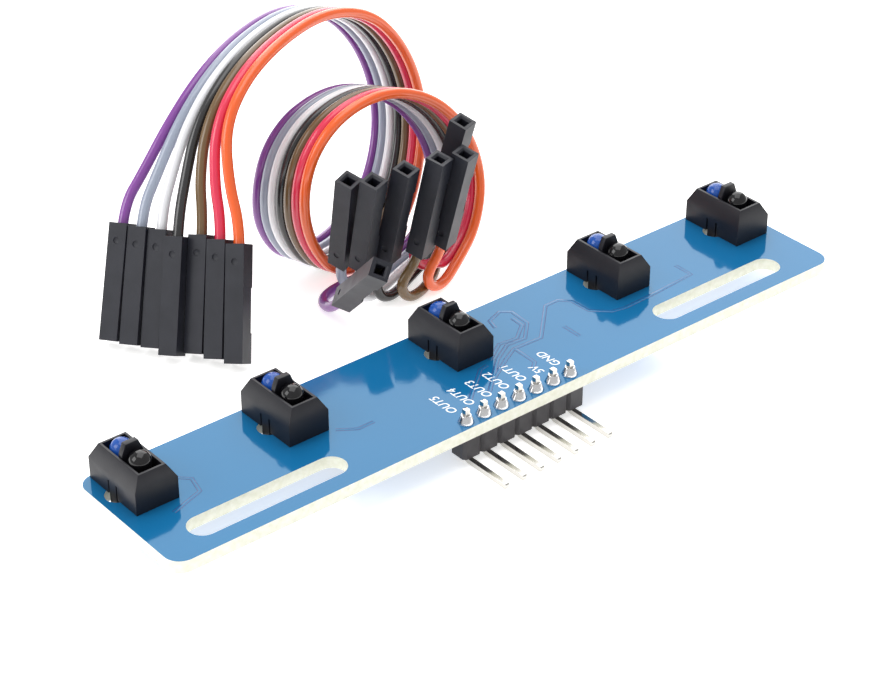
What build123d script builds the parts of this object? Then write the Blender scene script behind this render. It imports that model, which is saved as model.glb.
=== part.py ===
from build123d import *
from math import tan, radians
import os

# Five-channel infrared line sensor board with its seven-wire jumper harness.
# Millimetres, +Z up, the table is z = 0.  The board's long side runs along X,
# the header points towards -Y and the five sensors look up.

os.makedirs("parts", exist_ok=True)

# Circuit board: one flat rectangle of glass epoxy with two fixing slots
board_length = 96.0
board_width = 18.8
board_thickness = 1.5
corner_radius = 2.0
slot_length = 20.0
slot_width = 3.6
slot_from_end = 5.0
slot_pair_shift = -0.7
slot_from_front = 3.95

# Header: straight black strip under the front edge, its long pins bent forward
header_ways = 7
header_pitch = 2.54
header_shift = -1.45
insulator_chamfer = 0.35
pin_square = 0.64
pin_hole = 1.0
pin_bend_radius = 0.7
pin_stub = 1.7
pin_reach = 5.8
pin_tip_chamfer = 0.12

# Places along the board, each a share of the reach from the middle to an outer sensor
sensor_end_inset = 4.2
sensor_shares = (-0.998, -0.5525, -0.0171, 0.5434, 1.002)
chip_shares = (-0.297, 0.24)
capacitor_shares = (-0.457, -0.137, 0.4)

# Reflective sensors: open housing, two lens domes and a barrier between them
sensor_width = 5.3
sensor_length = 9.0
sensor_setback = 0.3
wall_height = 2.7
rim_height = 4.35
side_taper = 0.95
end_taper = 0.7
rim_width = 0.3
cavity_floor = 1.6
barrier_height = 5.85
barrier_shoulder = 4.6
barrier_thickness = 0.7
barrier_width = 2.6
barrier_top_width = 1.6
barrier_y = 0.15
dome_radius_share = 0.1444
emitter_share = 0.2167
detector_share = -0.1744
emitter_centre_height = 3.85
detector_centre_height = 4.15
clip_width = 1.3
clip_thickness = 0.9
clip_below_board = 1.0
clip_groove = 0.22
clip_groove_depth = 0.3
clip_groove_height = 1.7
clip_hole_radius = 1.45
clip_hole_inset = 0.6
clip_y = 0.0
lead_square = 0.5
lead_hole = 0.9
lead_half_spacing = 1.1
lead_half_gap = 1.9

# Solder joints: cones around the pins and the leads
joint_radius = 0.95
joint_height = 0.95
lead_joint_radius = 0.65
lead_joint_height = 0.8
joint_neck = 0.08

# Electronics under the board
chip_length = 8.65
chip_width = 3.9
chip_height = 1.5
chip_standoff = 0.15
chip_pins = 7
chip_pin_pitch = 1.27
chip_pin_width = 0.42
chip_pin_thickness = 0.2
chip_span = 6.0
chip_y = -1.6
trimmer_size = 3.2
trimmer_height = 1.3
trimmer_y = 4.6
trimmer_offsets = (6.5, 6.5, 6.5, -6.5, -6.5)
rotor_radius = 1.15
rotor_clearance = 0.05
rotor_thickness = 0.8
rotor_recess = 0.5
rotor_slot_width = 0.35
rotor_slot_depth = 0.35
led_size = (2.0, 1.25, 0.8)
resistor_size = (1.6, 0.8, 0.45)
capacitor_size = (2.0, 1.25, 0.95)
resistor_spacing = 2.2
resistor_y = 2.3
led_y = 7.7

# Jumper harness: seven wires in one ribbon, a socket housing on every end
wire_diameter = 1.26
housing_square = 2.4
housing_length = 14.0
crimp_cavity = 1.7
mating_hole = 1.15
mating_lip = 1.6
mating_chamfer = 0.25
wire_inside = 1.2
wire_lead_out = 2.2
wire_bend_out = 1.2
latch_from_wire_end = 5.1
latch_length = 5.3
latch_depth = 0.25
latch_window_width = 1.1
latch_window_length = 3.2
dimple_from_wire_end = 2.1
dimple_radius = 0.4
dimple_depth = 0.12
terminal_clearance = 0.05
terminal_wall = 0.2
crimp_length = 2.4
crimp_radius = 0.8
row_pitch = 2.56
wire_names = ("purple", "grey", "white", "black", "brown", "red", "orange")

# Left housings: a row that leans back with its open ends on the table; the
# first one also leans sideways the most, so the row fans out towards the table
row_start = (-26.45, 39.3, 0.86)
row_step = (1.449, -2.246, 0.0)
row_lean = 0.098
row_lean_step = -0.014
row_up = (0.339, 0.409, 0.847)
row_front = (-0.779, -0.383, 0.497)
row_proud = (0.0, 0.1, 0.0, 0.8, -0.3, 0.0, 0.2)

# Right housings: (centre of the wire end, direction to the open end)
loose_ends = {
    "purple": ((-2.6, 25.4, 3.8), (-0.144, -0.717, 0.682)),
    "grey": ((1.3, 30.8, 5.2), (-0.102, -0.276, 0.956)),
    "white": ((2.2, 27.9, 5.6), (-0.056, -0.267, 0.962)),
    "black": ((5.3, 26.8, 6.2), (0.010, -0.261, 0.965)),
    "brown": ((8.5, 24.7, 6.7), (0.065, -0.210, 0.975)),
    "red": ((14.0, 27.8, 9.3), (0.048, -0.282, 0.958)),
    "orange": ((12.0, 24.4, 6.9), (0.034, -0.260, 0.965)),
}
loose_fronts = {name: (-0.95, -0.31, 0.0) for name in wire_names}
loose_fronts["purple"] = (-0.6, 0.7, 0.2)

# Ribbon: (centre of the ribbon, direction from purple to orange, wire pitch)
ribbon = (
    ((-14.4, 40.0, 18.0), (0.459, -0.883, 0.087), 1.96),
    ((-11.3, 41.8, 23.2), (0.28, -0.93, 0.22), 1.50),
    ((-6.3, 43.4, 27.4), (0.16, -0.96, 0.24), 1.36),
    ((0.4, 45.3, 29.9), (0.16, -0.96, 0.24), 1.36),
    ((8.5, 47.1, 30.7), (0.16, -0.96, 0.24), 1.36),
    ((15.9, 47.8, 28.2), (0.16, -0.96, 0.24), 1.36),
    ((20.6, 47.5, 22.7), (0.16, -0.96, 0.24), 1.36),
    ((22.4, 46.2, 16.2), (0.16, -0.96, 0.24), 1.36),
    ((21.1, 44.2, 9.6), (0.16, -0.96, 0.24), 1.36),
    ((16.3, 41.3, 3.4), (0.20, -0.97, 0.12), 1.36),
    ((8.6, 38.6, 0.9), (0.30, -0.95, 0.00), 1.36),
    ((1.6, 37.6, 1.3), (0.30, -0.95, 0.00), 1.36),
    ((-2.4, 37.2, 7.1), (0.22, -0.97, 0.12), 1.36),
    ((-3.5, 36.6, 13.4), (0.16, -0.96, 0.24), 1.36),
    ((-1.7, 36.5, 19.3), (0.16, -0.96, 0.24), 1.36),
    ((2.8, 36.3, 23.2), (0.16, -0.96, 0.24), 1.36),
    ((9.4, 36.1, 24.1), (0.16, -0.96, 0.24), 1.36),
    ((16.1, 35.6, 21.1), (0.16, -0.96, 0.24), 1.36),
    ((20.6, 34.6, 15.5), (0.16, -0.96, 0.24), 1.36),
    ((21.6, 33.0, 9.3), (0.16, -0.96, 0.24), 1.36),
    ((18.9, 31.1, 4.3), (0.15, -0.98, 0.15), 1.36),
    ((14.0, 29.5, 1.8), (0.15, -0.99, 0.05), 1.40),
)

# Where each wire leaves the ribbon and hooks up into its right housing
hooks = {
    "purple": ((9.0, 32.9, 0.72), (4.6, 32.5, 0.7), (0.8, 32.3, 0.7), (-1.7, 31.1, 0.7), (-2.4, 28.7, 0.95)),
    "grey": ((9.0, 31.5, 0.78), (5.6, 31.0, 0.7), (3.0, 31.1, 0.95), (1.6, 31.2, 2.3)),
    "white": ((9.2, 30.0, 0.78), (6.2, 28.8, 0.7), (3.6, 27.9, 0.75), (1.8, 27.9, 1.4), (1.2, 28.1, 3.0)),
    "black": ((9.6, 28.3, 0.78), (7.2, 27.1, 0.7), (5.2, 26.4, 0.8), (3.7, 26.3, 1.5), (3.3, 26.6, 3.2)),
    "brown": ((12.6, 27.0, 0.75), (10.6, 25.8, 0.68), (8.8, 25.0, 0.7), (7.1, 24.6, 0.85), (5.9, 24.6, 1.8), (5.8, 24.8, 3.4)),
    "red": ((12.6, 26.6, 2.8), (10.8, 26.9, 2.9), (9.7, 27.1, 4.0), (9.9, 27.4, 5.6), (11.4, 27.8, 7.1)),
    "orange": ((12.6, 24.9, 0.75), (10.9, 24.6, 0.85), (9.8, 24.5, 1.8), (9.7, 24.5, 3.4)),
}

# Places worked out from the sizes above
board_y = pin_reach / 2
board_front = board_y - board_width / 2
board_back = board_y + board_width / 2
header_y = board_front + header_pitch / 2
insulator_bottom = pin_square / 2 + pin_bend_radius
board_bottom = insulator_bottom + header_pitch
board_top = board_bottom + board_thickness
slot_spacing = board_length - 2 * slot_from_end - slot_length
outer_reach = board_length / 2 - sensor_end_inset
sensor_places = [share * outer_reach for share in sensor_shares]
sensor_y = board_back - sensor_setback - sensor_length / 2
dome_radius = dome_radius_share * sensor_length
clip_x = sensor_width / 2 - clip_hole_inset


def save(shape, name):
    """Write one node, a single solid or a group of solids, as its STEP file."""
    export_step(shape, f"parts/{name}.step")


def box_between(low, high):
    """Axis-aligned block between two corners."""
    size = [b - a for a, b in zip(low, high)]
    middle = [(a + b) / 2 for a, b in zip(low, high)]
    return Pos(*middle) * Box(*size)


def header_xs():
    """Pin places along X, first to last."""
    first = header_shift - header_pitch * (header_ways - 1) / 2
    return [first + header_pitch * way for way in range(header_ways)]


def lead_places(sensor_x):
    """The four lead places of one sensor."""
    rows = (-lead_half_gap, lead_half_gap)
    sides = (-lead_half_spacing, lead_half_spacing)
    return [(sensor_x + side, sensor_y + row) for row in rows for side in sides]


# ---------------------------------------------------------------- circuit board
def circuit_board():
    outline = RectangleRounded(board_length, board_width, corner_radius)
    board = Pos(0, board_y, board_bottom) * extrude(outline, board_thickness)
    slot_centre = Pos(slot_pair_shift, board_front + slot_from_front, board_bottom - 1)
    slot = extrude(SlotOverall(slot_length, slot_width), board_thickness + 2)
    for side in (-1, 1):
        board -= slot_centre * Pos(side * slot_spacing / 2, 0, 0) * slot
    holes = [(x, header_y, pin_hole / 2) for x in header_xs()]
    for x in sensor_places:
        holes += [(place[0], place[1], lead_hole / 2) for place in lead_places(x)]
        for side in (-1, 1):
            holes.append((x + side * clip_x, sensor_y + clip_y, clip_hole_radius))
    drill_height = board_thickness + 2
    for x, y, radius in holes:
        board -= Pos(x, y, board_bottom + board_thickness / 2) * Cylinder(radius, drill_height)
    return board


# ---------------------------------------------------------------- sensors
def housing_shell():
    """Moulded housing around the origin, its flat underside at z = 0."""
    base = Rectangle(sensor_width, sensor_length)
    rim = Rectangle(sensor_width - 2 * side_taper, sensor_length - 2 * end_taper)
    shell = extrude(base, wall_height)
    shell += loft([Pos(0, 0, wall_height) * base, Pos(0, 0, rim_height) * rim])
    inside_width = sensor_width - 2 * (side_taper + rim_width)
    inside_length = sensor_length - 2 * (end_taper + rim_width)
    cavity_height = rim_height - cavity_floor + 1
    cavity = Box(inside_width, inside_length, cavity_height)
    return shell - Pos(0, 0, cavity_floor + cavity_height / 2) * cavity


def housing_barrier():
    """Thin wall between the two domes, its top corners cut off."""
    half = barrier_width / 2
    half_top = barrier_top_width / 2
    root = cavity_floor - 0.1
    wall_half = sensor_width / 2 - side_taper - rim_width / 2
    wall_top = rim_height - 0.4
    points = [
        (-wall_half, root), (wall_half, root), (wall_half, wall_top), (half, wall_top),
        (half, barrier_shoulder), (half_top, barrier_height), (-half_top, barrier_height),
        (-half, barrier_shoulder), (-half, wall_top), (-wall_half, wall_top),
    ]
    face = Plane.XZ * make_face(Polyline(*points, close=True))
    return Pos(0, barrier_y + barrier_thickness / 2, 0) * extrude(face, barrier_thickness)


def clip(side):
    """Snap leg on a long face: it passes down through its board hole."""
    outer = side * sensor_width / 2
    inner = outer - side * clip_thickness
    low_x, high_x = sorted((outer, inner))
    bottom = -board_thickness - clip_below_board
    half = clip_width / 2
    return box_between((low_x, clip_y - half, bottom), (high_x, clip_y + half, 0.5))


def clip_grooves(side):
    """Relief grooves on both sides of the snap leg."""
    outer = side * sensor_width / 2
    low_x, high_x = sorted((outer + side, outer - side * clip_groove_depth))
    cuts = []
    for edge in (clip_y - clip_width / 2 - clip_groove, clip_y + clip_width / 2):
        cuts.append(box_between((low_x, edge, -1), (high_x, edge + clip_groove, clip_groove_height)))
    return cuts


def sensor_housing(sensor_x):
    body = housing_shell() + housing_barrier()
    for side in (-1, 1):
        for cut in clip_grooves(side):
            body -= cut
        body += clip(side)
    return Pos(sensor_x, sensor_y, board_top) * body


def dome(sensor_x, share, centre_height):
    """Lens: a round pillar with a half-ball top that stands on the cavity floor."""
    height = centre_height - cavity_floor
    pillar = Pos(0, 0, cavity_floor + height / 2) * Cylinder(dome_radius, height)
    lens = pillar + Pos(0, 0, centre_height) * Sphere(dome_radius)
    return Pos(sensor_x, sensor_y + share * sensor_length, board_top) * lens


def sensor_leads():
    """Four straight leads under each sensor; their cut ends stand on the table."""
    half = lead_square / 2
    leads = []
    for sensor_x in sensor_places:
        for x, y in lead_places(sensor_x):
            leads.append(box_between((x - half, y - half, 0), (x + half, y + half, board_top)))
    return Compound(leads)


# ---------------------------------------------------------------- header
def header_insulator():
    block = Box(header_pitch, header_pitch, header_pitch)
    block = chamfer(block.edges().filter_by(Axis.Z), insulator_chamfer)
    strip = None
    for x in header_xs():
        cell = Pos(x, header_y, insulator_bottom + header_pitch / 2) * block
        strip = cell if strip is None else strip + cell
    for x in header_xs():
        hole = Box(pin_square, pin_square, header_pitch + 1)
        strip -= Pos(x, header_y, insulator_bottom + header_pitch / 2) * hole
    return strip


def header_pin(x):
    """Square pin: straight down through board and strip, then forward."""
    top = board_top + pin_stub
    corner = (x, header_y, pin_square / 2)
    tip = (x, board_front - pin_reach, pin_square / 2)
    path = FilletPolyline((x, header_y, top), corner, tip, radius=pin_bend_radius)
    section = Plane((x, header_y, top), x_dir=(1, 0, 0), z_dir=(0, 0, -1)) * Rectangle(pin_square, pin_square)
    pin = sweep(section, path=path)
    for end in (pin.faces().sort_by(Axis.Z)[-1], pin.faces().sort_by(Axis.Y)[0]):
        pin = chamfer(end.edges(), pin_tip_chamfer)
    return pin


def solder_cone(x, y, radius, height, half_pin, face_z, direction):
    """Cone on a board face, open in the middle for its square pin."""
    neck = half_pin + joint_neck
    cone = Cone(radius, neck * 1.4, height)
    if direction < 0:
        cone = Rot(180, 0, 0) * cone
    hole = Box(2 * half_pin, 2 * half_pin, height + 1)
    return Pos(x, y, face_z + direction * height / 2) * (cone - hole)


def header_solder_joints():
    half = pin_square / 2
    cones = [solder_cone(x, header_y, joint_radius, joint_height, half, board_top, 1) for x in header_xs()]
    return Compound(cones)


def sensor_solder_joints():
    half = lead_square / 2
    cones = []
    for sensor_x in sensor_places:
        for x, y in lead_places(sensor_x):
            cones.append(solder_cone(x, y, lead_joint_radius, lead_joint_height, half, board_bottom, -1))
    return Compound(cones)


# ---------------------------------------------------------------- electronics under the board
def chip_body(x):
    middle = board_bottom - chip_standoff - chip_height / 2
    body = Box(chip_length, chip_width, chip_height)
    body = chamfer(body.edges().group_by(Axis.Z)[0], 0.25)
    notch = Pos(-chip_length / 2, 0, -chip_height / 2) * Cylinder(0.5, 0.3)
    return Pos(x, board_y + chip_y, middle) * (body - notch)


def chip_leads(x):
    """Gull-wing leads of one chip, both rows."""
    leads = []
    knee = chip_width / 2 + 0.45
    level = chip_standoff + chip_height / 2
    for index in range(chip_pins):
        lead_x = x + (index - (chip_pins - 1) / 2) * chip_pin_pitch
        for side in (-1, 1):
            points = [
                (chip_width / 2, -level), (knee, -level), (knee, 0), (chip_span / 2, 0),
                (chip_span / 2, -chip_pin_thickness), (knee + chip_pin_thickness, -chip_pin_thickness),
                (knee + chip_pin_thickness, -level - chip_pin_thickness), (chip_width / 2, -level - chip_pin_thickness),
            ]
            outline = [(side * y, z) for y, z in points]
            face = Plane.YZ * make_face(Polyline(*outline, close=True))
            lead = extrude(face, chip_pin_width / 2, both=True)
            leads.append(Pos(lead_x, board_y + chip_y, board_bottom) * lead)
    return leads


def trimmer_xs():
    """One trimmer beside each sensor."""
    return [x + offset for x, offset in zip(sensor_places, trimmer_offsets)]


def trimmer_base(x):
    body = Box(trimmer_size, trimmer_size, trimmer_height)
    body = chamfer(body.edges().filter_by(Axis.Z), 0.3)
    recess = Cylinder(rotor_radius + rotor_clearance, rotor_recess * 2)
    body -= Pos(0, 0, -trimmer_height / 2) * recess
    return Pos(x, board_y + trimmer_y, board_bottom - trimmer_height / 2) * body


def trimmer_rotor(x):
    rotor = Cylinder(rotor_radius, rotor_thickness)
    rotor = chamfer(rotor.edges().sort_by(Axis.Z)[0], 0.12)
    for turn in (0, 90):
        cross = Rot(0, 0, turn) * Box(rotor_radius * 1.5, rotor_slot_width, rotor_slot_depth * 2)
        rotor -= Pos(0, 0, -rotor_thickness / 2) * cross
    seat = board_bottom - trimmer_height + rotor_recess - rotor_clearance
    return Pos(x, board_y + trimmer_y, seat - rotor_thickness / 2) * rotor


def chip_parts(size, places):
    """Small surface-mount parts: a body between two end caps, one solid each."""
    length, width, height = size
    parts = []
    for x, y in places:
        body = Box(length, width * 0.94, height * 0.94)
        for side in (-1, 1):
            body += Pos(side * length * 0.4, 0, 0) * Box(length * 0.2, width, height)
        parts.append(Pos(x, board_y + y, board_bottom - height / 2) * body)
    return Compound(parts)


# ---------------------------------------------------------------- harness
def harness_plane(origin, axis, front):
    """Plane at a housing's wire end: Z runs to the open end, Y to the front face."""
    z_dir = Vector(*axis).normalized()
    front_dir = Vector(*front)
    y_dir = (front_dir - z_dir * front_dir.dot(z_dir)).normalized()
    return Plane(Vector(*origin), x_dir=y_dir.cross(z_dir), z_dir=z_dir)


def left_plane(index):
    """Left housing number index: its open end is on the table."""
    up = Vector(*row_up).normalized()
    front = Vector(*row_front)
    foot = Vector(*row_start) + Vector(*row_step) * index + front * row_proud[index]
    foot -= up * ((foot.Z - row_start[2]) / up.Z)
    lean = row_lean + row_lean_step * index
    up = (up + up.cross(front) * lean).normalized()
    return harness_plane(foot + up * housing_length, -up, row_front)


def right_plane(name):
    origin, axis = loose_ends[name]
    return harness_plane(origin, axis, loose_fronts[name])


def socket_housing():
    """Square plastic housing: wire end at z = 0, mating hole at the other end."""
    body = Pos(0, 0, housing_length / 2) * Box(housing_square, housing_square, housing_length)
    cavity_length = housing_length - mating_lip
    body -= Pos(0, 0, cavity_length / 2 - 0.5) * Box(crimp_cavity, crimp_cavity, cavity_length + 1)
    body -= Pos(0, 0, housing_length) * Box(mating_hole, mating_hole, 2 * mating_lip + 1)
    funnel = [Rectangle(mating_hole, mating_hole)]
    wide = mating_hole + 2 * mating_chamfer
    funnel.append(Pos(0, 0, mating_chamfer) * Rectangle(wide, wide))
    body -= Pos(0, 0, housing_length - mating_chamfer) * loft(funnel)
    back = -housing_square / 2
    latch_middle = latch_from_wire_end + latch_length / 2
    body -= Pos(0, back, latch_middle) * Box(housing_square + 1, 2 * latch_depth, latch_length)
    window = Box(latch_window_width, housing_square / 2, latch_window_length)
    body -= Pos(0, back, latch_middle) * window
    dimple = Rot(90, 0, 0) * Cylinder(dimple_radius, 2 * dimple_depth)
    return body - Pos(0, housing_square / 2, dimple_from_wire_end) * dimple


def crimp_terminal():
    """Folded metal contact inside a housing, its barrel closed around the wire."""
    side = crimp_cavity - 2 * terminal_clearance
    start = wire_inside + crimp_length
    length = housing_length - mating_lip - start
    contact = Pos(0, 0, start + length / 2) * Box(side, side, length)
    inner = side - 2 * terminal_wall
    hollow = Box(inner, inner, length)
    contact -= Pos(0, 0, start + length / 2 + terminal_wall) * hollow
    barrel = Pos(0, 0, wire_inside + crimp_length / 2) * Cylinder(crimp_radius, crimp_length)
    return contact + barrel


def wire_route(index, name):
    """Points that one wire follows, from its left terminal to its right one."""
    left = left_plane(index)
    right = right_plane(name)
    points = [left.origin + left.z_dir * wire_inside, left.origin - left.z_dir * wire_lead_out]
    place = index - (len(wire_names) - 1) / 2
    for centre, across, pitch in ribbon:
        points.append(Vector(*centre) + Vector(*across).normalized() * (place * pitch))
    points += [Vector(*point) for point in hooks[name]]
    points += [right.origin - right.z_dir * wire_bend_out, right.origin + right.z_dir * wire_inside]
    return points


def bend_radii(points):
    """Largest arc that each corner's two runs allow."""
    radii = []
    for before, corner, after in zip(points, points[1:], points[2:]):
        first = corner - before
        second = after - corner
        half_turn = radians(first.get_angle(second)) / 2
        radii.append(0.45 * min(first.length, second.length) / tan(half_turn))
    return radii


def wire(index, name):
    points = wire_route(index, name)
    radii = bend_radii(points)
    path = FilletPolyline(*points, radius=radii)
    start = Plane(points[0], z_dir=(points[1] - points[0]).normalized())
    tube = sweep(start * Circle(wire_diameter / 2), path=path)
    section = Circle(wire_diameter / 2).area
    print(f"{name}: length {path.length:.1f} mm, tightest radius {min(radii):.1f} mm,",
          f"volume {tube.volume:.1f} against {section * path.length:.1f}")
    return tube


# ---------------------------------------------------------------- write every node
save(circuit_board(), "circuit_board")
for number, sensor_x in enumerate(sensor_places, start=1):
    save(sensor_housing(sensor_x), f"sensor_housing_{number}")
    save(dome(sensor_x, emitter_share, emitter_centre_height), f"emitter_{number}")
    save(dome(sensor_x, detector_share, detector_centre_height), f"detector_{number}")
save(sensor_leads(), "sensor_leads")
save(sensor_solder_joints(), "sensor_solder_joints")

save(header_insulator(), "header_insulator")
save(Compound([header_pin(x) for x in header_xs()]), "header_pins")
save(header_solder_joints(), "header_solder_joints")

chip_places = [share * outer_reach for share in chip_shares]
capacitor_places = [(share * outer_reach, chip_y) for share in capacitor_shares]
for number, x in enumerate(chip_places, start=1):
    save(chip_body(x), f"comparator_{number}")
save(Compound([lead for x in chip_places for lead in chip_leads(x)]), "comparator_leads")
for number, x in enumerate(trimmer_xs(), start=1):
    save(trimmer_base(x), f"trimmer_base_{number}")
    save(trimmer_rotor(x), f"trimmer_rotor_{number}")
led_places = [(x, led_y) for x in trimmer_xs()]
resistor_places = [(x + step * resistor_spacing, resistor_y) for x in trimmer_xs() for step in (-1, 0, 1)]
save(chip_parts(led_size, led_places), "channel_leds")
save(chip_parts(resistor_size, resistor_places), "resistors")
save(chip_parts(capacitor_size, capacitor_places), "capacitors")

terminals = []
for index, name in enumerate(wire_names):
    for end, plane in (("left", left_plane(index)), ("right", right_plane(name))):
        save(plane * socket_housing(), f"{end}_socket_{name}")
        terminals.append(plane * crimp_terminal())
    save(wire(index, name), f"wire_{name}")
save(Compound(terminals), "crimp_terminals")
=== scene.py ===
from math import radians

import bpy
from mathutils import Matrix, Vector


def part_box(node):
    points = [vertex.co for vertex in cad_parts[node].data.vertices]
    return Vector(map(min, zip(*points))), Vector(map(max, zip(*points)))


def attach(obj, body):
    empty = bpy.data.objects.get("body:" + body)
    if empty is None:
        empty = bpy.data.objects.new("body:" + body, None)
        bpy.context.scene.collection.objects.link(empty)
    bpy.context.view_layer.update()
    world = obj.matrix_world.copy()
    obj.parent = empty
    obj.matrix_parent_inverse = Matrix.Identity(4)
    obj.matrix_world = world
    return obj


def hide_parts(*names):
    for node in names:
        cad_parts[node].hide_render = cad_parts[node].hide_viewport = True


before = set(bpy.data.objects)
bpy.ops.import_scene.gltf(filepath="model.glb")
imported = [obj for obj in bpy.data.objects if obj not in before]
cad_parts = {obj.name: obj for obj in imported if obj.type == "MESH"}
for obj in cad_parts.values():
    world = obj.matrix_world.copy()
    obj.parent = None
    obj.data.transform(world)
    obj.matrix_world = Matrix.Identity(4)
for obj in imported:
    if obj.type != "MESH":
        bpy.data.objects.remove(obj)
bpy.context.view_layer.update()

bpy.ops.object.select_all(action="DESELECT")

# ---------------------------------------------------------------- camera
# A long lens about a quarter of a metre away, looking down over the header
# corner of the board, as a catalogue picture of a small module is taken.
camera_data = bpy.data.cameras.new("camera")
camera_data.lens = 94.96
camera_data.sensor_width = 36
camera_data.clip_start = 0.01
camera = bpy.data.objects.new("camera", camera_data)
camera.location = (-0.1458, -0.1676, 0.1492)
camera.rotation_euler = (radians(57.89), 0, radians(-39.48))
bpy.context.scene.collection.objects.link(camera)
bpy.context.scene.camera = camera


# ---------------------------------------------------------------- jumper sockets
# Fourteen push-on sockets of black nylon, one on each end of every wire. Each
# is moulded square, with a small witness dimple near the wire's end and the
# open mouth of the contact at the other end.
def shader_group(name, inputs, outputs):
    """An empty node group with its named sockets."""
    group = bpy.data.node_groups.new(name, "ShaderNodeTree")
    for socket, kind, value in inputs:
        made = group.interface.new_socket(socket, in_out="INPUT", socket_type=kind)
        made.default_value = value
    for socket, kind in outputs:
        group.interface.new_socket(socket, in_out="OUTPUT", socket_type=kind)
    return group


def moulded_surface_group():
    """Cloudy colour, uneven gloss and a fine grain, all from object space."""
    group = shader_group(
        "moulded surface",
        (
            ("Colour", "NodeSocketColor", (0.5, 0.5, 0.5, 1)),
            ("Second Colour", "NodeSocketColor", (0.4, 0.4, 0.4, 1)),
            ("Cloud Scale", "NodeSocketFloat", 300.0),
            ("Grain Scale", "NodeSocketFloat", 3000.0),
            ("Smoothest", "NodeSocketFloat", 0.3),
            ("Roughest", "NodeSocketFloat", 0.5),
        ),
        (
            ("Colour", "NodeSocketColor"),
            ("Roughness", "NodeSocketFloat"),
            ("Height", "NodeSocketFloat"),
        ),
    )
    nodes = group.nodes
    links = group.links
    given = nodes.new("NodeGroupInput")
    result = nodes.new("NodeGroupOutput")
    place = nodes.new("ShaderNodeTexCoord")
    cloud = nodes.new("ShaderNodeTexNoise")
    cloud.inputs["Detail"].default_value = 4
    grain = nodes.new("ShaderNodeTexNoise")
    grain.inputs["Detail"].default_value = 3
    colour = nodes.new("ShaderNodeMix")
    colour.data_type = "RGBA"
    gloss = nodes.new("ShaderNodeMapRange")
    both = nodes.new("ShaderNodeMath")
    both.operation = "MULTIPLY_ADD"
    both.inputs[1].default_value = 0.35
    links.new(place.outputs["Object"], cloud.inputs["Vector"])
    links.new(place.outputs["Object"], grain.inputs["Vector"])
    links.new(given.outputs["Cloud Scale"], cloud.inputs["Scale"])
    links.new(given.outputs["Grain Scale"], grain.inputs["Scale"])
    links.new(cloud.outputs["Fac"], colour.inputs["Factor"])
    links.new(given.outputs["Colour"], colour.inputs["A"])
    links.new(given.outputs["Second Colour"], colour.inputs["B"])
    links.new(cloud.outputs["Fac"], gloss.inputs["Value"])
    links.new(given.outputs["Smoothest"], gloss.inputs["To Min"])
    links.new(given.outputs["Roughest"], gloss.inputs["To Max"])
    links.new(cloud.outputs["Fac"], both.inputs[0])
    links.new(grain.outputs["Fac"], both.inputs[2])
    links.new(colour.outputs["Result"], result.inputs["Colour"])
    links.new(gloss.outputs["Result"], result.inputs["Roughness"])
    links.new(both.outputs["Value"], result.inputs["Height"])
    return group


moulded_surface = moulded_surface_group()


def surface_material(name, colour, second, gloss, grain=3000, cloud=300, depth=0.000004):
    """A Principled material that takes colour, gloss and grain from the group."""
    material = bpy.data.materials.new(name)
    material.use_nodes = True
    nodes = material.node_tree.nodes
    links = material.node_tree.links
    shader = nodes["Principled BSDF"]
    surface = nodes.new("ShaderNodeGroup")
    surface.node_tree = moulded_surface
    surface.inputs["Colour"].default_value = (*colour, 1)
    surface.inputs["Second Colour"].default_value = (*second, 1)
    surface.inputs["Cloud Scale"].default_value = cloud
    surface.inputs["Grain Scale"].default_value = grain
    surface.inputs["Smoothest"].default_value = gloss[0]
    surface.inputs["Roughest"].default_value = gloss[1]
    bump = nodes.new("ShaderNodeBump")
    bump.inputs["Distance"].default_value = depth
    links.new(surface.outputs["Colour"], shader.inputs["Base Color"])
    links.new(surface.outputs["Roughness"], shader.inputs["Roughness"])
    links.new(surface.outputs["Height"], bump.inputs["Height"])
    links.new(bump.outputs["Normal"], shader.inputs["Normal"])
    return material


def finished_copy(node, body, material, edge=0.0, segments=2, smooth=30):
    """A copy of a CAD node with merged faces and rounded edges, which stands for it."""
    piece = bpy.data.objects.new(f"{node}_finished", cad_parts[node].data.copy())
    bpy.context.scene.collection.objects.link(piece)
    bpy.ops.object.select_all(action="DESELECT")
    piece.select_set(True)
    bpy.context.view_layer.objects.active = piece
    bpy.ops.mesh.customdata_custom_splitnormals_clear()
    bpy.ops.object.mode_set(mode="EDIT")
    bpy.ops.mesh.select_all(action="SELECT")
    bpy.ops.mesh.remove_doubles(threshold=0.000001)
    bpy.ops.mesh.dissolve_limited(angle_limit=radians(0.8))
    bpy.ops.object.mode_set(mode="OBJECT")
    if edge:
        bevel = piece.modifiers.new("rounded edges", "BEVEL")
        bevel.width = edge
        bevel.segments = segments
        bevel.limit_method = "ANGLE"
        bevel.angle_limit = radians(38)
        bevel.use_clamp_overlap = True
        bpy.ops.object.modifier_apply(modifier=bevel.name)
    bpy.ops.object.shade_smooth_by_angle(angle=radians(smooth))
    if edge:
        weighted = piece.modifiers.new("flat faces stay flat", "WEIGHTED_NORMAL")
        weighted.keep_sharp = True
        weighted.weight = 100
        bpy.ops.object.modifier_apply(modifier=weighted.name)
    piece.data.materials.clear()
    piece.data.materials.append(material)
    piece.select_set(False)
    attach(piece, body)
    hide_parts(node)
    return piece


wire_names = ("purple", "grey", "white", "black", "brown", "red", "orange")
nylon = surface_material(
    "black nylon", (0.017, 0.018, 0.027), (0.008, 0.009, 0.014), (0.34, 0.52), 5200, 420
)
nylon.node_tree.nodes["Principled BSDF"].inputs["Specular IOR Level"].default_value = 0.4
for name in wire_names:
    for end in ("left", "right"):
        node = f"{end}_socket_{name}"
        finished_copy(node, "harness", nylon, edge=0.00009)

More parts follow.
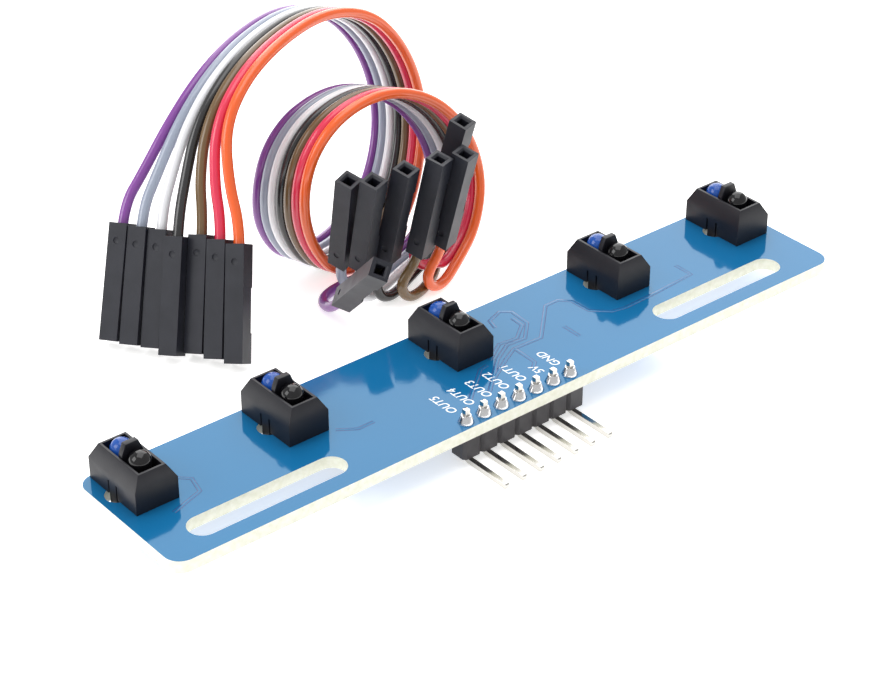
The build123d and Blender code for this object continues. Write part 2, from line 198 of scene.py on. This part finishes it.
tinned_bronze = surface_material(
    "tinned bronze", (0.72, 0.69, 0.62), (0.60, 0.57, 0.50), (0.22, 0.34), 2600, 500
)
tinned_bronze.node_tree.nodes["Principled BSDF"].inputs["Metallic"].default_value = 1
finished_copy("crimp_terminals", "harness", tinned_bronze, edge=0.00003, segments=1)


# ---------------------------------------------------------------- ribbon wires
# Seven stranded wires in glossy coloured vinyl, joined side by side as one
# ribbon. It rises from the left row, goes round in two turns and splits into
# single wires that hook up into the right sockets.
wire_diameter = 0.00132
wire_inside = 0.0012
wire_lead_out = 0.0022
wire_bend_out = 0.0012
socket_length = 0.014
row_start = Vector((-0.02645, 0.0393, 0.00086))
row_step = Vector((0.001449, -0.002246, 0))
row_lean = 0.098
row_lean_step = -0.014
row_up = Vector((0.339, 0.409, 0.847)).normalized()
row_front = Vector((-0.779, -0.383, 0.497))
row_proud = (0, 0.0001, 0, 0.0008, -0.0003, 0, 0.0002)
ribbon = (
    ((-0.0144, 0.04, 0.018), (0.459, -0.883, 0.087), 0.00196),
    ((-0.0113, 0.0418, 0.0232), (0.28, -0.93, 0.22), 0.0015),
    ((-0.0063, 0.0434, 0.0274), (0.16, -0.96, 0.24), 0.00136),
    ((0.0004, 0.0453, 0.0299), (0.16, -0.96, 0.24), 0.00136),
    ((0.0085, 0.0471, 0.0307), (0.16, -0.96, 0.24), 0.00136),
    ((0.0159, 0.0478, 0.0282), (0.16, -0.96, 0.24), 0.00136),
    ((0.0206, 0.0475, 0.0227), (0.16, -0.96, 0.24), 0.00136),
    ((0.0224, 0.0462, 0.0162), (0.16, -0.96, 0.24), 0.00136),
    ((0.0211, 0.0442, 0.0096), (0.16, -0.96, 0.24), 0.00136),
    ((0.0163, 0.0413, 0.0034), (0.2, -0.97, 0.12), 0.00136),
    ((0.0086, 0.0386, 0.0009), (0.3, -0.95, 0), 0.00136),
    ((0.0016, 0.0376, 0.0013), (0.3, -0.95, 0), 0.00136),
    ((-0.0024, 0.0372, 0.0071), (0.22, -0.97, 0.12), 0.00136),
    ((-0.0035, 0.0366, 0.0134), (0.16, -0.96, 0.24), 0.00136),
    ((-0.0017, 0.0365, 0.0193), (0.16, -0.96, 0.24), 0.00136),
    ((0.0028, 0.0363, 0.0232), (0.16, -0.96, 0.24), 0.00136),
    ((0.0094, 0.0361, 0.0241), (0.16, -0.96, 0.24), 0.00136),
    ((0.0161, 0.0356, 0.0211), (0.16, -0.96, 0.24), 0.00136),
    ((0.0206, 0.0346, 0.0155), (0.16, -0.96, 0.24), 0.00136),
    ((0.0216, 0.033, 0.0093), (0.16, -0.96, 0.24), 0.00136),
    ((0.0189, 0.0311, 0.0043), (0.15, -0.98, 0.15), 0.00136),
    ((0.014, 0.0295, 0.0018), (0.15, -0.99, 0.05), 0.0014),
)
hooks = {
    "purple": (
        (0.009, 0.0329, 0.00072),
        (0.0046, 0.0325, 0.0007),
        (0.0008, 0.0323, 0.0007),
        (-0.0017, 0.0311, 0.0007),
        (-0.0024, 0.0287, 0.00095),
    ),
    "grey": (
        (0.009, 0.0315, 0.00078),
        (0.0056, 0.031, 0.0007),
        (0.003, 0.0311, 0.00095),
        (0.0016, 0.0312, 0.0023),
    ),
    "white": (
        (0.0092, 0.03, 0.00078),
        (0.0062, 0.0288, 0.0007),
        (0.0036, 0.0279, 0.00075),
        (0.0018, 0.0279, 0.0014),
        (0.0012, 0.0281, 0.003),
    ),
    "black": (
        (0.0096, 0.0283, 0.00078),
        (0.0072, 0.0271, 0.0007),
        (0.0052, 0.0264, 0.0008),
        (0.0037, 0.0263, 0.0015),
        (0.0033, 0.0266, 0.0032),
    ),
    "brown": (
        (0.0126, 0.027, 0.00075),
        (0.0106, 0.0258, 0.00068),
        (0.0088, 0.025, 0.0007),
        (0.0071, 0.0246, 0.00085),
        (0.0059, 0.0246, 0.0018),
        (0.0058, 0.0248, 0.0034),
    ),
    "red": (
        (0.0126, 0.0266, 0.0028),
        (0.0108, 0.0269, 0.0029),
        (0.0097, 0.0271, 0.004),
        (0.0099, 0.0274, 0.0056),
        (0.0114, 0.0278, 0.0071),
    ),
    "orange": (
        (0.0126, 0.0249, 0.00075),
        (0.0109, 0.0246, 0.00085),
        (0.0098, 0.0245, 0.0018),
        (0.0097, 0.0245, 0.0034),
    ),
}
loose_ends = {
    "purple": ((-0.0026, 0.0254, 0.0038), (-0.144, -0.717, 0.682)),
    "grey": ((0.0013, 0.0308, 0.0052), (-0.102, -0.276, 0.956)),
    "white": ((0.0022, 0.0279, 0.0056), (-0.056, -0.267, 0.962)),
    "black": ((0.0053, 0.0268, 0.0062), (0.01, -0.261, 0.965)),
    "brown": ((0.0085, 0.0247, 0.0067), (0.065, -0.21, 0.975)),
    "red": ((0.014, 0.0278, 0.0093), (0.048, -0.282, 0.958)),
    "orange": ((0.012, 0.0244, 0.0069), (0.034, -0.26, 0.965)),
}


def left_end(index):
    """Wire end of a left socket and the way up out of it."""
    foot = row_start + row_step * index + row_front * row_proud[index]
    foot -= row_up * ((foot.z - row_start.z) / row_up.z)
    lean = row_lean + row_lean_step * index
    up = (row_up + row_up.cross(row_front) * lean).normalized()
    return foot + up * socket_length, up


def right_end(name):
    """Wire end of a right socket and the way into it."""
    origin, axis = loose_ends[name]
    return Vector(origin), Vector(axis).normalized()


def wire_route(index, name):
    """Points that one wire follows from its left contact to its right one."""
    start, up = left_end(index)
    points = [start - up * wire_inside, start + up * wire_lead_out]
    place = index - (len(wire_names) - 1) / 2
    for centre, across, pitch in ribbon:
        points.append(Vector(centre) + Vector(across).normalized() * (place * pitch))
    points += [Vector(point) for point in hooks[name]]
    end, axis = right_end(name)
    points += [end - axis * wire_bend_out, end + axis * wire_inside]
    return points


def wire_curve(index, name):
    """One smooth tube along the wire's route."""
    curve = bpy.data.curves.new(f"vinyl_wire_{name}", "CURVE")
    curve.dimensions = "3D"
    spline = curve.splines.new("NURBS")
    route = wire_route(index, name)
    spline.points.add(len(route) - 1)
    for point, place in zip(spline.points, route):
        point.co = (*place, 1)
    spline.order_u = 3
    spline.use_endpoint_u = True
    spline.resolution_u = 10
    curve.bevel_depth = wire_diameter / 2
    curve.bevel_resolution = 6
    curve.use_fill_caps = True
    wire = bpy.data.objects.new(f"vinyl_wire_{name}", curve)
    bpy.context.scene.collection.objects.link(wire)
    return wire


vinyl_colours = {
    "purple": ((0.235, 0.062, 0.330), (0.190, 0.045, 0.275)),
    "grey": ((0.330, 0.370, 0.460), (0.280, 0.315, 0.400)),
    "white": ((0.830, 0.830, 0.850), (0.760, 0.760, 0.790)),
    "black": ((0.022, 0.021, 0.022), (0.012, 0.012, 0.013)),
    "brown": ((0.165, 0.094, 0.034), (0.125, 0.070, 0.025)),
    "red": ((0.760, 0.035, 0.095), (0.660, 0.022, 0.070)),
    "orange": ((0.870, 0.130, 0.018), (0.780, 0.100, 0.014)),
}
for index, name in enumerate(wire_names):
    wire = wire_curve(index, name)
    colour, second = vinyl_colours[name]
    vinyl = surface_material(f"{name} vinyl", colour, second, (0.16, 0.26), 2400, 180, 0.000006)
    vinyl.node_tree.nodes["Principled BSDF"].inputs["Coat Weight"].default_value = 0.6
    vinyl.node_tree.nodes["Principled BSDF"].inputs["Coat Roughness"].default_value = 0.12
    wire.data.materials.append(vinyl)
    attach(wire, "harness")
    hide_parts(f"wire_{name}")
    tuple(left_end(index)[0])


# ---------------------------------------------------------------- circuit board
# A strip of glass epoxy with a glossy blue mask on both faces. Its edges and
# the insides of the two fixing slots are bare, so the pale glass shows there.
board_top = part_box("circuit_board")[1][2]
solder_mask = surface_material(
    "blue mask", (0.006, 0.118, 0.285), (0.008, 0.145, 0.340), (0.05, 0.10), 900, 60, 0.000003
)
bare_glass = surface_material(
    "bare glass epoxy", (0.95, 0.95, 0.88), (0.66, 0.66, 0.50), (0.50, 0.70), 3400, 1500, 0.00003
)
solder_mask.node_tree.nodes["Principled BSDF"].inputs["Specular Tint"].default_value = (0.5, 0.85, 1.0, 1)
board = finished_copy("circuit_board", "board", solder_mask)
board.data.materials.append(bare_glass)
for face in board.data.polygons:
    face.material_index = 0 if abs(face.normal.z) > 0.5 else 1


def printed_piece(made, name, material):
    """Turn a text or a curve that lies on the board into a mesh that rides with it."""
    bpy.ops.object.select_all(action="DESELECT")
    made.select_set(True)
    bpy.context.view_layer.objects.active = made
    bpy.ops.object.convert(target="MESH")
    piece = bpy.context.object
    piece.name = name
    piece.data.materials.clear()
    piece.data.materials.append(material)
    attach(piece, "board")
    return piece


# Copper tracks show through the mask as low ridges; a darker strip along each side of a ridge is painted
# shade on its slope. Each is a line of turning points on the board, in metres from its middle.
tracks = {
    "far_sensor": (
        (0.0322, 0.0045), (0.0322, 0.0018), (0.0263, 0.0014), (0.0209, 0.0012), (0.0190, 0.0016),
        (0.0170, 0.0035), (0.0169, 0.0063), (0.0158, 0.0075), (0.0138, 0.0075), (0.0087, 0.0025),
        (0.0047, 0.0027), (0.0024, 0.0015), (-0.0011, -0.0006),
    ),
    "loop": (
        (0.0060, 0.0075), (0.0065, 0.0091), (0.0087, 0.0099), (0.0098, 0.0090), (0.0096, 0.0060),
        (0.0072, 0.0036), (0.0046, 0.0038), (0.0018, 0.0022), (-0.0032, -0.0023),
    ),
    "inner_loop": ((0.0089, 0.0079), (0.0088, 0.0060), (0.0065, 0.0042), (0.0040, 0.0045), (0.0010, 0.0026)),
    "supply": ((0.0048, 0.0027), (0.0047, -0.0009), (0.0036, -0.0019)),
    "jumper": ((0.0124, 0.0027), (0.0124, 0.0000)),
    "low_sensors": (
        (0.0001, 0.0020), (-0.0011, 0.0018), (-0.0030, 0.0002), (-0.0047, -0.0011), (-0.0059, -0.0022),
    ),
    "near_sensor": (
        (-0.0405, 0.0060), (-0.0392, 0.0060), (-0.0382, 0.0050), (-0.0388, 0.0026), (-0.0430, 0.0012),
    ),
    "second_sensor": ((-0.0210, 0.0026), (-0.0190, 0.0012), (-0.0168, 0.0012)),
}


def track(name, points, width, rise, material):
    """A low rounded ridge along one track, half of it inside the board."""
    curve = bpy.data.curves.new(name, "CURVE")
    curve.dimensions = "3D"
    spline = curve.splines.new("POLY")
    spline.points.add(len(points) - 1)
    for point, (x, y) in zip(spline.points, points):
        point.co = (x, y, 0, 1)
    curve.bevel_depth = width / 2
    curve.bevel_resolution = 3
    curve.use_fill_caps = True
    made = bpy.data.objects.new(name, curve)
    bpy.context.scene.collection.objects.link(made)
    piece = printed_piece(made, name, material)
    bpy.ops.object.mode_set(mode="EDIT")
    bpy.ops.mesh.select_all(action="SELECT")
    bpy.ops.transform.resize(value=(1, 1, rise * 2 / width), center_override=(0, 0, 0))
    bpy.ops.transform.translate(value=(0, 0, board_top))
    bpy.ops.object.mode_set(mode="OBJECT")
    bpy.ops.object.shade_smooth()


# The wide, darker strip under each track is painted shade for the sloping sides of its ridge; the narrow top
# strip is the plain mask.
painted_track_shade = surface_material(
    "painted shade on a track's side", (0.035, 0.085, 0.240), (0.045, 0.095, 0.270), (0.10, 0.20), 900, 60, 0.000003
)
side_width = 0.00052
side_rise = 0.000010
top_width = 0.00032
top_rise = 0.000022
for name, points in tracks.items():
    track(f"painted_track_shade_{name}", points, side_width, side_rise, painted_track_shade)
    track(f"track_{name}", points, top_width, top_rise, solder_mask)

# White ink names each pin's job, the usual generic ones for such a board.
ink = surface_material("white ink", (0.92, 0.94, 0.96), (0.84, 0.87, 0.90), (0.45, 0.6), 2600, 900)
header_low, header_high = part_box("header_insulator")
pin_jobs = ("OUT5", "OUT4", "OUT3", "OUT2", "OUT1", "5V", "GND")
pin_pitch = (header_high[0] - header_low[0]) / len(pin_jobs)
label_start = header_high[1] + 0.0008
ink_size = 0.0015
ink_thickness = 0.00001
ink_boldness = 0.000012
ink_slant = 0.2
for way, job in enumerate(pin_jobs):
    label_middle = header_low[0] + pin_pitch * (way + 0.6)
    text = bpy.data.curves.new(f"label_{job}", "FONT")
    text.body = job
    text.size = ink_size
    text.align_y = "CENTER"
    text.extrude = ink_thickness
    text.offset = ink_boldness
    text.shear = ink_slant
    made = bpy.data.objects.new(f"label_{job}", text)
    bpy.context.scene.collection.objects.link(made)
    printed_piece(made, f"label_{job}", ink)
    bpy.ops.object.mode_set(mode="EDIT")
    bpy.ops.mesh.select_all(action="SELECT")
    bpy.ops.transform.rotate(value=radians(-90), orient_axis="Z", center_override=(0, 0, 0))
    bpy.ops.transform.translate(value=(label_middle, label_start, board_top + ink_thickness))
    bpy.ops.object.mode_set(mode="OBJECT")


# ---------------------------------------------------------------- reflective sensors
# Five open-topped housings of black plastic clipped through the board. In each
# one a clear blue emitter and a black detector stand on either side of a wall.
housing_plastic = surface_material(
    "sensor plastic", (0.013, 0.013, 0.018), (0.007, 0.007, 0.011), (0.32, 0.46), 4200, 380
)
housing_plastic.node_tree.nodes["Principled BSDF"].inputs["Specular IOR Level"].default_value = 0.35
emitter_resin = surface_material(
    "blue resin with painted glow", (0.03, 0.16, 0.66), (0.02, 0.11, 0.50), (0.03, 0.06), 900, 200, 0.000001
)
emitter_shader = emitter_resin.node_tree.nodes["Principled BSDF"]
emitter_shader.inputs["Transmission Weight"].default_value = 0.5
# A faint blue glow is painted into the clear resin, standing in for light scattered inside the lens.
emitter_shader.inputs["Emission Color"].default_value = (0.02, 0.22, 1.0, 1)
emitter_shader.inputs["Emission Strength"].default_value = 0.05
emitter_shader.inputs["IOR"].default_value = 1.5
detector_resin = surface_material(
    "black resin", (0.006, 0.006, 0.007), (0.004, 0.004, 0.005), (0.04, 0.08), 900, 200, 0.000001
)
for number in range(1, 6):
    finished_copy(f"sensor_housing_{number}", "board", housing_plastic, edge=0.00014)
    finished_copy(f"emitter_{number}", "board", emitter_resin, smooth=60)
    finished_copy(f"detector_{number}", "board", detector_resin, smooth=60)

tinned_lead = surface_material(
    "tinned lead", (0.78, 0.77, 0.75), (0.66, 0.65, 0.63), (0.20, 0.36), 3000, 600
)
tinned_lead.node_tree.nodes["Principled BSDF"].inputs["Metallic"].default_value = 1
finished_copy("sensor_leads", "board", tinned_lead, edge=0.00005, segments=1)


# ---------------------------------------------------------------- pin header
# A seven-way strip of black plastic under the front edge. Its long square pins
# are bent forward and soldered on the sensor side with bright cones.
strip_plastic = surface_material(
    "header plastic", (0.034, 0.031, 0.036), (0.020, 0.018, 0.022), (0.36, 0.52), 4200, 500
)
finished_copy("header_insulator", "board", strip_plastic, edge=0.00006)
plated_pin = surface_material(
    "bright plated pin", (0.66, 0.64, 0.60), (0.50, 0.49, 0.46), (0.12, 0.24), 2200, 500
)
plated_pin.node_tree.nodes["Principled BSDF"].inputs["Metallic"].default_value = 1
finished_copy("header_pins", "board", plated_pin, edge=0.00004)
bright_solder = surface_material(
    "bright solder", (0.84, 0.84, 0.84), (0.72, 0.72, 0.73), (0.10, 0.28), 1500, 700, 0.00002
)
bright_solder.node_tree.nodes["Principled BSDF"].inputs["Metallic"].default_value = 1
for node in ("header_solder_joints", "sensor_solder_joints"):
    finished_copy(node, "board", bright_solder, edge=0.00006, smooth=50)


# ---------------------------------------------------------------- electronics under the board
# Two comparator chips, a small trimmer for each sensor, and the lamps,
# resistors and capacitors that go with them, all soldered to the far face.
moulding = surface_material(
    "moulding compound", (0.028, 0.028, 0.030), (0.018, 0.018, 0.020), (0.55, 0.72), 5200, 500, 0.00001
)
for number in (1, 2):
    finished_copy(f"comparator_{number}", "board", moulding, edge=0.00005)
finished_copy("comparator_leads", "board", tinned_lead, edge=0.00003, segments=1)
ceramic = surface_material(
    "trimmer ceramic", (0.80, 0.78, 0.70), (0.70, 0.68, 0.60), (0.35, 0.5), 3000, 500
)
rotor_metal = surface_material(
    "plated rotor", (0.80, 0.72, 0.50), (0.70, 0.62, 0.42), (0.22, 0.36), 2600, 500
)
rotor_metal.node_tree.nodes["Principled BSDF"].inputs["Metallic"].default_value = 1
for number in range(1, 6):
    finished_copy(f"trimmer_base_{number}", "board", ceramic, edge=0.00006)
    finished_copy(f"trimmer_rotor_{number}", f"rotor_{number}", rotor_metal, edge=0.00003)
lamp_resin = surface_material(
    "lamp resin", (0.80, 0.84, 0.74), (0.66, 0.72, 0.62), (0.15, 0.3), 2000, 700
)
finished_copy("channel_leds", "board", lamp_resin, edge=0.00006)
film = surface_material(
    "resistor glaze", (0.02, 0.02, 0.022), (0.012, 0.012, 0.014), (0.2, 0.35), 3000, 700
)
finished_copy("resistors", "board", film, edge=0.00003)
tan_ceramic = surface_material(
    "tan ceramic", (0.42, 0.27, 0.15), (0.34, 0.21, 0.11), (0.3, 0.45), 3000, 700
)
finished_copy("capacitors", "board", tan_ceramic, edge=0.00004)


# ---------------------------------------------------------------- table and studio light
# A plain white table in a bright room. The table glows a little, so that the
# shadows on it stay pale. One soft box hangs overhead, one stands at the side,
# and the glossy board mirrors a large bright card behind it.
bpy.ops.mesh.primitive_plane_add(size=6, location=(0, 0, -0.00002))
table = bpy.context.object
table.name = "table"
paper = surface_material(
    "white table", (0.93, 0.93, 0.93), (0.95, 0.95, 0.95), (0.75, 0.85), 90, 6, 0.00001
)
paper_shader = paper.node_tree.nodes["Principled BSDF"]
paper_shader.inputs["Emission Color"].default_value = (1.0, 0.995, 0.98, 1)
paper_shader.inputs["Emission Strength"].default_value = 0.6
table.data.materials.append(paper)

room = bpy.data.worlds.new("bright room")
room.use_nodes = True
room.node_tree.nodes["Background"].inputs["Color"].default_value = (1, 1, 1, 1)
room.node_tree.nodes["Background"].inputs["Strength"].default_value = 0.62
bpy.context.scene.world = room


def soft_box(name, place, aim, size, power):
    """A square area light that points at the object."""
    data = bpy.data.lights.new(name, "AREA")
    data.size = size
    data.energy = power
    light = bpy.data.objects.new(name, data)
    light.location = place
    light.rotation_euler = (Vector(aim) - Vector(place)).to_track_quat("-Z", "Y").to_euler()
    bpy.context.scene.collection.objects.link(light)


soft_box("overhead box", (0.05, 0.05, 0.9), (0, 0.01, 0), 0.8, 4.0)
soft_box("side box", (-0.7, 0.25, 0.5), (0, 0.02, 0), 0.5, 2.5)
soft_box("far card", (0.6, 0.72, 0.58), (0, 0, 0), 1.2, 10.5)
bpy.context.scene.view_settings.view_transform = "Standard"
